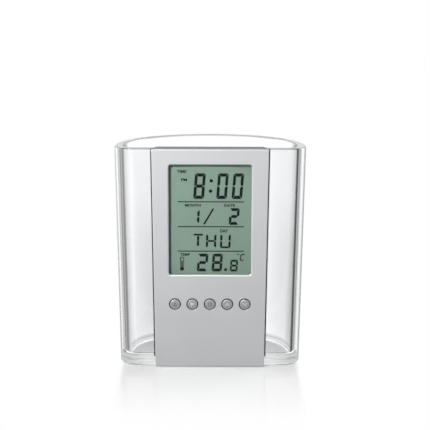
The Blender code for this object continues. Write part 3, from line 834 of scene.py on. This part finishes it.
def stroke_points(width, height, stroke, deep, gap, chamfer):
    """The segments of a sign, named a to g as usual, and its middle stems and flat top."""
    middle = height / 2
    half = chamfer / 2
    foot = middle + gap * 2.5  # where the upper side segments end
    tip = stroke * 0.6 + gap  # where the level bar begins
    top = [
        (chamfer, height), (width - chamfer, height), (width - half - gap, height - half),
        (width - stroke - gap, height - deep), (stroke + gap, height - deep),
        (half + gap, height - half),
    ]
    upper_left = [
        (0, foot), (0, height - chamfer), (half, height - half - gap),
        (stroke, height - deep - gap), (stroke, middle + deep / 2 + gap), (stroke * 0.7, foot),
    ]
    level = [
        (tip, middle), (stroke + gap, middle + deep / 2),
        (width - stroke - gap, middle + deep / 2), (width - tip, middle),
        (width - stroke - gap, middle - deep / 2), (stroke + gap, middle - deep / 2),
    ]
    left = width / 2 - stroke / 2
    right = left + stroke
    low = middle + gap
    high = height - stroke - gap
    stem = [(left, low), (left, high), (right, high), (right, low)]
    flat_top = [(0, height), (width, height), (width, height - deep), (0, height - deep)]

    def over(points):
        return [(width - x, z) for x, z in points]

    def under(points):
        return [(x, height - z) for x, z in points]

    upper_right = over(upper_left)
    return {
        "a": top, "b": upper_right, "c": under(upper_right), "d": under(top),
        "e": under(upper_left), "f": upper_left, "g": level,
        "i": stem, "l": under(stem), "t": flat_top,
    }


lit = {"0": "abcdef", "1": "bc", "2": "abdeg", "8": "abcdefg", "T": "til", "H": "bcefg", "U": "bcdef"}


def sign(character, left, right, low, high, stroke, slant):
    """The lit segments of one sign in a box in millimetres, leaning to the right by a slant."""
    lean = math.tan(math.radians(slant)) * (high - low)
    deep = stroke * (letter_bar if character.isalpha() else digit_bar)
    made = stroke_points(right - left - lean, high - low, stroke, deep, segment_gap, stroke * 0.5)
    return [
        [(left + x + lean * z / (high - low), low + z) for x, z in made[name]]
        for name in lit[character]
    ]


def dot(x, z, radius, sides=20):
    turns = [2 * math.pi * i / sides for i in range(sides)]
    return [(x + radius * math.cos(t), z + radius * math.sin(t)) for t in turns]


def bar(x0, z0, x1, z1, width):
    """A straight stroke between two points, as an outline in millimetres."""
    along = Vector((x1 - x0, z1 - z0)).normalized() * width / 2
    return [
        (x0 - along.y, z0 + along.x),
        (x0 + along.y, z0 - along.x),
        (x1 + along.y, z1 - along.x),
        (x1 - along.y, z1 + along.x),
    ]


def flat_signs(outlines, front, back, x=0, z=0):
    """Outlines in millimetres about a place, each as a closed form between two depths."""
    return [plate([(x + a * mm, z + b * mm) for a, b in outline], front, back) for outline in outlines]


# the lit signs, each with its left and right end, in rows of one height, stroke and slant; then the
# dots, the rules, the thermometer and the degree's C
outlines = []
for low, high, stroke, slant, row in (
    (79.85, 91.75, 1.3, 4.5, [("8", -7.75, -1.9), ("0", 2.75, 8.5), ("0", 9.75, 15.5)]),
    (67.75, 75.6, 1.15, 4.0, [("2", 8.5, 13.6)]),
    (56.75, 63.5, 1.0, 2.0, [("T", -7.65, -3.3), ("H", -1.95, 3.0), ("U", 4.55, 9.6)]),
    (45.7, 54.1, 1.15, 4.0, [("2", -6.1, -0.7), ("8", 0.7, 6.0)]),
    (45.7, 51.25, 0.85, 3.0, [("8", 9.15, 12.95)]),
    (68.2, 75.0, 1.1, 3.0, [("1", -9.3, -4.65)]),
):
    for character, left, right in row:
        outlines += sign(character, left, right, low, high, stroke, slant)
outlines += [dot(0.55, 88.3, 0.8), dot(0.2, 83.5, 0.8), dot(7.2, 46.55, 0.72)]
outlines += [bar(-2.8, 67.95, 1.55, 75.35, 0.75)]
outlines += [bar(-14.75, z, 15.55, z, 0.46) for z in (78.5, 66.85, 55.3)]
outlines += [
    dot(-12.85, 46.95, 0.95),
    bar(-12.85, 47.5, -12.85, 50.6, 0.7),
    bar(-13.6, 47.9, -13.6, 52.3, 0.3),
    bar(-12.1, 47.9, -12.1, 52.3, 0.3),
    bar(-13.75, 52.4, -11.95, 52.4, 0.3),
]
outlines += [bar(-13.45, z, -12.9, z, 0.22) for z in (51.0, 51.7)]
outlines += [
    bar(15.85, 53.8, 14.5, 53.8, 0.55),
    bar(14.35, 53.7, 14.15, 52.55, 0.55),
    bar(14.1, 52.4, 13.95, 51.25, 0.55),
    bar(13.95, 51.05, 15.45, 51.05, 0.55),
]
marks = piece("display_marks", flat_signs(outlines, marks_front, marks_back))

# the small words, each drawn out to the box that it fills
shape = bmesh.new()
shape.from_mesh(marks.data)
for text, left, right, low, high in (
    ("TIME", -15.1, -10.75, 91.85, 93.2),
    ("PM", -13.2, -10.5, 88.0, 89.4),
    ("MONTH", -11.45, -4.2, 76.2, 77.5),
    ("DATE", 6.45, 11.35, 76.2, 77.5),
    ("DAY", 4.65, 8.35, 64.15, 65.6),
    ("TEMP", -13.7, -9.25, 53.05, 54.3),
    ("o", 12.55, 13.3, 53.4, 54.15),
):
    curve = bpy.data.curves.new("word", "FONT")
    curve.body = text
    curve.extrude = word_thickness
    curve.offset = word_boldness
    lettering = added("word", curve)
    graph = bpy.context.evaluated_depsgraph_get()
    mesh = bpy.data.meshes.new_from_object(lettering.evaluated_get(graph))
    bpy.data.objects.remove(lettering)
    xs = [vertex.co.x for vertex in mesh.vertices]
    ys = [vertex.co.y for vertex in mesh.vertices]
    for vertex in mesh.vertices:
        x = mix(left, right, (vertex.co.x - min(xs)) / (max(xs) - min(xs))) * mm
        z = mix(low, high, (vertex.co.y - min(ys)) / (max(ys) - min(ys))) * mm
        vertex.co = (x, marks_front if vertex.co.z > 0 else marks_back, z)
    shape.from_mesh(mesh)
bmesh.ops.remove_doubles(shape, verts=shape.verts, dist=same_mark_point)
bmesh.ops.recalc_face_normals(shape, faces=shape.faces)
shape.to_mesh(marks.data)
shape.free()
matt = {"Specular IOR Level": 0.1}
display_ink = grained_finish(
    "display_ink", (0.004, 0.01, 0.008), 0.45, moulded, 2600.0, 0.2, 0.1, **matt
)
marks.data.materials.append(display_ink)
seat(marks, "clock_module", "lcd_glass")


# Buttons: five round caps moulded in darker silver, each with a raised generic sign on its crown.
# A flange behind the panel keeps each cap in its hole, in front of its switch.
cap_stand_out = 0.00043
cap_radius = 0.00235
cap_rounding = 0.0004
cap_dome = 0.0001
crown = plate_front - cap_stand_out
shoulder = crown + cap_dome
flange_radius = 0.00325
flange_front = plate_back + clearance
flange_thickness = 0.0006
sign_height = 0.00006
cap_sides = 64
cap_smoothing = 40  # degrees


def chevron(turn):
    """An angle sign of two strokes, pointing up, or turned round to point down."""
    pair = [bar(-0.8, -0.65, 0.05, 0.8, 0.5), bar(0.8, -0.65, -0.05, 0.8, 0.5)]
    return [[(x * turn, z * turn) for x, z in outline] for outline in pair]


def strokes(points, width):
    """Joined strokes through points, as closed outlines in millimetres."""
    return [bar(*first, *second, width) for first, second in zip(points, points[1:])]


bell = strokes([(-0.55, -0.5), (-0.45, 0.3), (0, 0.7), (0.45, 0.3), (0.55, -0.5)], 0.28)
bell += [bar(-0.8, -0.6, 0.8, -0.6, 0.26), dot(0, -0.95, 0.18)]
flag = [[(-1.15, 1.1), (1.25, 0.3), (0.15, -0.15), (-0.55, -1.25)]]
square = strokes([(-0.7, 0.1), (-0.7, -0.7), (0.7, -0.7), (0.7, 0.7), (-0.75, 0.7)], 0.28)
signs = [bell, flag, square, chevron(1), chevron(-1)]

# each cap's sides behind the panel's face are painted near black without metal: painted shade of the
# dark ring round the cap in its hole
silver_cap = lacquered(
    "silver_cap",
    (0.49, 0.5, 0.51),
    roughness=0.4,
    grain=1400.0,
    depth=0.6,
    change=0.05,
    axis="Y",
    band=(plate_front - 0.00014, plate_front - 0.00004),
    painted_shade_colour=(0.03, 0.031, 0.032, 1),
)
sign_white = grained_finish("sign_white", (1.0, 1.0, 1.0), 0.4, moulded, 2500.0, 0.2, 0.0)
sign_grey = grained_finish("sign_grey", (0.2, 0.21, 0.22), 0.4, moulded, 2500.0, 0.2)
sign_inks = [sign_grey, sign_white, sign_grey, sign_white, sign_white]
flange_back = flange_front + flange_thickness
profile = [(flange_radius, flange_back), (flange_radius, flange_front), (cap_radius, flange_front)]
rounding = quarter_round(cap_rounding, edge_steps)
profile += [(cap_radius - inset, shoulder + rise) for inset, rise in rounding]
for share, risen in ((0.66, 0.56), (0.33, 0.89)):  # the dome, from its edge to its crown
    profile.append(((cap_radius - cap_rounding) * share, shoulder - cap_dome * risen))
for i, (x, outlines, ink) in enumerate(zip(button_places, signs, sign_inks), 1):
    cap = piece(f"cap_{i}", [turned(profile, x, button_height, cap_sides)], silver_cap)
    smooth(cap, cap_smoothing)
    seat(cap, f"button_{i}", "silver_cap", f"button_{i}")
    forms = flat_signs(outlines, crown - sign_height, crown + cap_dome, x, button_height)
    seat(piece(f"cap_sign_{i}", forms, ink), f"button_{i}", "silver_cap")


# Circuit board: green laminate with fine tracks under its solder mask. The chip under its drop of
# resin, the crystal's can, the thermistor and the push switches sit on it, and the brass buzzer disc
# lies against the rear case.
mask_green = (0.05, 0.2, 0.08)
track_green = (0.09, 0.32, 0.14)
board_laminate, tree, shader = finish("board_laminate", mask_green, 0.45)
grained(tree, shader, moulded, 700.0, 0.4)
inputs = {"Vector": object_place(tree)[0], "Rotation": (math.pi / 2, 0, 0)}
laid = node(tree, "ShaderNodeMapping", inputs).outputs[0]
inputs = {"Vector": laid, "Scale": 400.0, "Mortar Size": 0.03, "Mortar Smooth": 0.1}
tracks = node(tree, "ShaderNodeTexBrick", inputs).outputs["Fac"]
two_coloured(tree, shader, tracks, mask_green, track_green)
dress(board_laminate, "circuit_board")
black_resin = grained_finish("black_resin", (0.02, 0.02, 0.02), 0.3, moulded, 350.0, 1.0, 0.2)
dress(black_resin, "chip_cover", "thermistor")
steel = grained_finish("steel", (0.6, 0.6, 0.6), 0.3, moulded, 1300.0, 0.5, metallic=1.0)
dress(steel, "crystal_can")
brass = grained_finish("brass", (0.7, 0.52, 0.25), 0.32, brushed, 1100.0, 0.8, metallic=1.0)
dress(brass, "buzzer_disc")
plunger_plastic = grained_finish("plunger_plastic", (0.05, 0.05, 0.05), 0.4, moulded, 1800.0, 0.6, 0.15)
for i in range(1, 6):
    dress(black_plastic, f"switch_body_{i}")
    dress(plunger_plastic, f"switch_plunger_{i}")


# Rear case: the fine-grained grey moulding inside the cup, screwed to the panel from behind. The
# battery's pocket, the vents and the sound holes are in its back.
same_point = 0.0000005
flat_enough = math.radians(0.5)
case_smoothing = 38  # degrees


def merged_copy(name, source, material):
    """A CAD node's shape with its loose triangles joined, so that its roundings shade smoothly."""
    shape = bmesh.new()
    shape.from_mesh(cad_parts[source].data)
    bmesh.ops.remove_doubles(shape, verts=shape.verts, dist=same_point)
    bmesh.ops.dissolve_limit(shape, angle_limit=flat_enough, verts=shape.verts, edges=shape.edges)
    item = placed(name, shape, material)
    smooth(item, case_smoothing)
    return item


grey_plastic = grained_finish("grey_plastic", (0.06, 0.062, 0.065), 0.5, moulded, 1500.0, 2.0, 0.12)
case = merged_copy("module_case", "rear_case", grey_plastic)
seat(case, "clock_module", "grey_plastic", "rear_case")


# Battery: a steel button cell under a round cover. A coin turns the cover to free its three lugs;
# raised signs beside it show where it is locked and where it comes free.
cover = merged_copy("coin_cover", "battery_cover", grey_plastic)
seat(cover, "battery_cover", "grey_plastic", "battery_cover")
dress(steel, "button_cell", "contact_minus", "contact_plus")
case_back = -0.0082
sign_sunk = 0.0002
sign_raised = 0.00025
cell_height = 0.0156
lock_sign_radius = 9.5  # in millimetres, as the signs are
cover_sign_radius = 6.9


def turned_sign(outline, radius, degrees):
    """An outline in millimetres, moved out from the cover's middle and turned about it."""
    turn = math.radians(degrees)
    across, along = math.cos(turn), math.sin(turn)
    return [
        ((radius + b) * across - a * along, (radius + b) * along + a * across) for a, b in outline
    ]


def raised_signs(name, body, outlines):
    forms = flat_signs(outlines, case_back - sign_sunk, case_back + sign_raised, 0, cell_height)
    seat(piece(name, forms, grey_plastic), body, "grey_plastic")


arrow = [(-0.6, -0.35), (0.6, -0.35), (0, 0.6)]
pill = [(-0.2, -0.5), (0.2, -0.5), (0.2, 0.5), (-0.2, 0.5)]
locked = turned_sign(arrow, lock_sign_radius, 90)
free = turned_sign(dot(0, 0, 0.45), lock_sign_radius, 135)
raised_signs("lock_signs", "clock_module", [locked, free])
raised_signs("cover_sign", "battery_cover", [turned_sign(pill, cover_sign_radius, 90)])


# Screws: nickel-plated pan-head screws with a cross recess. Four hold the case to the panel's bosses
# and two hold the board.
screws_tree = bpy.data.node_groups.new("pan_head_screws", "GeometryNodeTree")
screw_sizes = {
    "Shank Radius": 0.0007,
    "Head Radius": 0.0015,
    "Head Height": 0.0011,
    "Recess Length": 0.002,
    "Recess Width": 0.0004,
    "Recess Depth": 0.0005,
}
head_profile = [(1.0, 0.0), (1.0, 0.45), (0.85, 0.8), (0.5, 1.0)]  # shares of its radius and height
head_sides = 32
kinds = dict.fromkeys(("Length", *screw_sizes), "Float")
for title, kind in {"Geometry": "Geometry", **kinds, "Material": "Material"}.items():
    screws_tree.interface.new_socket(title, in_out="INPUT", socket_type=f"NodeSocket{kind}")
screws_tree.interface.new_socket("Geometry", in_out="OUTPUT", socket_type="NodeSocketGeometry")
given = screws_tree.nodes.new("NodeGroupInput").outputs


def field(kind, inputs):
    """Adds a geometry node and returns its first output."""
    return node(screws_tree, kind, inputs).outputs[0]


def scaled(title, factor):
    """One of the screw's named sizes, times a factor."""
    return calculate(screws_tree, "MULTIPLY", given[title], factor)


def lifted(item, height):
    vector = field("ShaderNodeCombineXYZ", {"Z": height})
    return field("GeometryNodeTransform", {"Geometry": item, "Translation": vector})


def frustum(low, high, depth):
    inputs = {"Vertices": head_sides, "Radius Bottom": low, "Radius Top": high, "Depth": depth}
    return field("GeometryNodeMeshCone", inputs)


def boolean(operation, first, *others):
    made = node(screws_tree, "GeometryNodeMeshBoolean", operation=operation, solver="EXACT")
    if operation == "DIFFERENCE":
        screws_tree.links.new(first, made.inputs["Mesh 1"])
    else:
        others = (first, *others)
    for other in others:
        screws_tree.links.new(other, made.inputs["Mesh 2"])
    return made.outputs["Mesh"]


shank = frustum(given["Shank Radius"], given["Shank Radius"], given["Length"])
layers = [lifted(shank, scaled("Length", -1.0))]
for (low, start), (high, end) in zip(head_profile, head_profile[1:]):
    rise = scaled("Head Height", end - start)
    layer = frustum(scaled("Head Radius", low), scaled("Head Radius", high), rise)
    layers.append(lifted(layer, scaled("Head Height", start)))
bars = []
for names in (("X", "Y"), ("Y", "X")):
    inputs = dict(zip(names, (given["Recess Length"], given["Recess Width"])))
    inputs["Z"] = scaled("Recess Depth", 2.0)
    recess = field("GeometryNodeMeshCube", {"Size": field("ShaderNodeCombineXYZ", inputs)})
    bars.append(lifted(recess, given["Head Height"]))
screw = boolean("DIFFERENCE", boolean("UNION", *layers), *bars)
inputs = {"Points": given["Geometry"], "Instance": screw, "Rotation": (-math.pi / 2, math.pi / 4, 0)}
screw = field("GeometryNodeInstanceOnPoints", inputs)
screw = field("GeometryNodeRealizeInstances", {"Geometry": screw})
screw = field("GeometryNodeSetMaterial", {"Geometry": screw, "Material": given["Material"]})
screws_tree.links.new(screw, screws_tree.nodes.new("NodeGroupOutput").inputs["Geometry"])
inputs = [socket for socket in screws_tree.interface.items_tree if socket.in_out == "INPUT"]
identifiers = {socket.name: socket.identifier for socket in inputs}

# each set's name and its screws' length, and in millimetres the depth of their seats and their places
for name, length, depth, places in (
    ("case_screw", 0.008, -9.9, [(-22.39, 98.97), (22.39, 98.97), (-18.3, 9.1), (18.3, 9.1)]),
    ("board_screw", 0.005, -13.7, [(-19.0, 37.5), (19.0, 37.5)]),
):
    mesh = bpy.data.meshes.new(f"{name}s")
    mesh.from_pydata([(x * mm, depth * mm, z * mm) for x, z in places], [], [])
    screws = added(f"{name}s", mesh)
    change = screws.modifiers.new("screws", "NODES")
    change.node_group = screws_tree
    for title, value in {**screw_sizes, "Length": length, "Material": steel}.items():
        change[identifiers[title]] = value
    settle(screws)
    smooth(screws)
    seat(screws, "clock_module", "steel", *(f"{name}_{i}" for i in range(1, len(places) + 1)))
